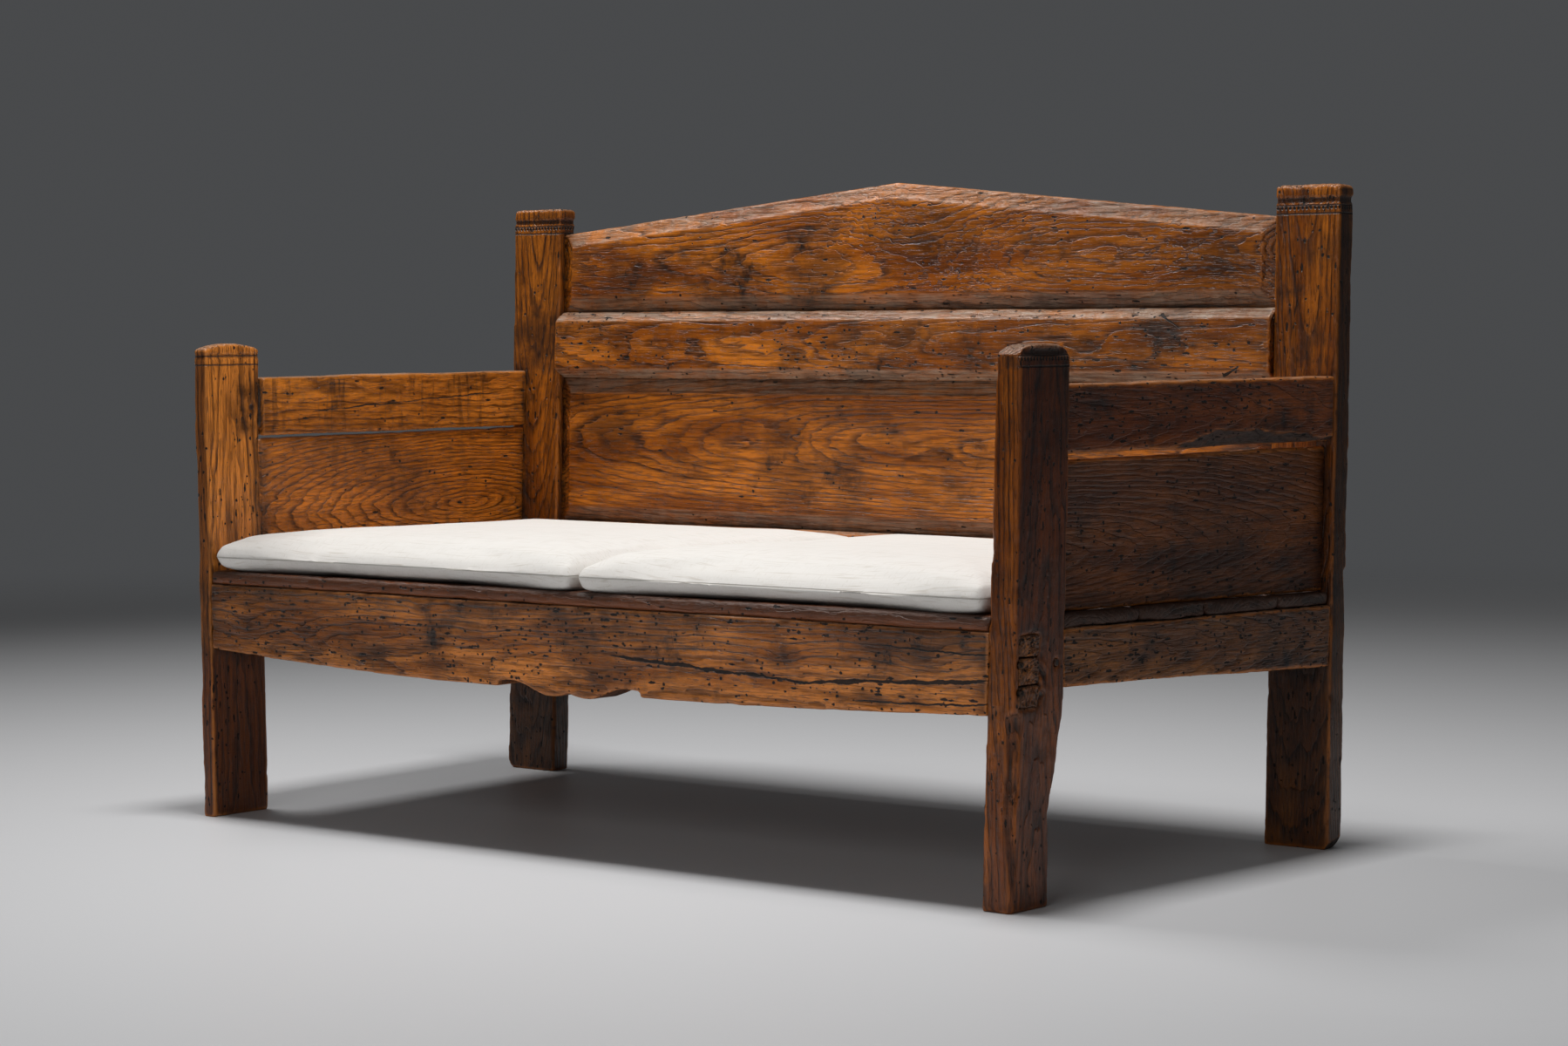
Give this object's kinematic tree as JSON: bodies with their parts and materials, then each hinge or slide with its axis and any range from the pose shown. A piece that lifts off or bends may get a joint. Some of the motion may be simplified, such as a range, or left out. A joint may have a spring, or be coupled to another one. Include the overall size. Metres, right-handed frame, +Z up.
{
  "type": "bench",
  "caption": "Old plank-built wooden bench with a gabled panelled back, closed arms, tenoned posts and rails, a board seat and loose linen seat pads.",
  "frame": {"origin": "on the floor, under the middle of the bench's outline", "axes": "+X along the bench to the sitter's left, +Y to the back, +Z up"},
  "size_m": [1.782, 0.8791, 1.0793],
  "materials": {
    "frame_wood": "waxed, dark worn patina",
    "panel_wood": "waxed, warm orange-brown",
    "board_wood": "worn, dark brown",
    "peg_wood": "dark end grain",
    "linen": "plain woven off-white linen",
    "iron": "dark forged iron"
  },
  "bodies": {
    "root": {"front_post_left": "frame_wood", "front_post_right": "frame_wood", "rear_post_left": "frame_wood", "rear_post_right": "frame_wood", "front_rail": "frame_wood", "rear_rail": "frame_wood", "side_rail_left": "frame_wood", "side_rail_right": "frame_wood", "arm_rail_left": "frame_wood", "arm_rail_right": "frame_wood", "side_panel_left": "panel_wood", "side_panel_right": "panel_wood", "back_lower_panel": "panel_wood", "back_mid_rail": "panel_wood", "back_top_panel": "panel_wood", "seat_board_front": "board_wood", "seat_board_second": "board_wood", "seat_board_third": "board_wood", "seat_board_rear": "board_wood", "seat_bearer": "board_wood", "cushion_left": "linen", "cushion_right": "linen", "front_rail_pins": "iron", "side_rail_pegs": "peg_wood", "arm_rail_pegs": "peg_wood", "rear_rail_pegs": "peg_wood", "mid_rail_pegs": "peg_wood", "tenon_wedges": "peg_wood", "seat_nails": "iron"}
  },
  "joints": []
}
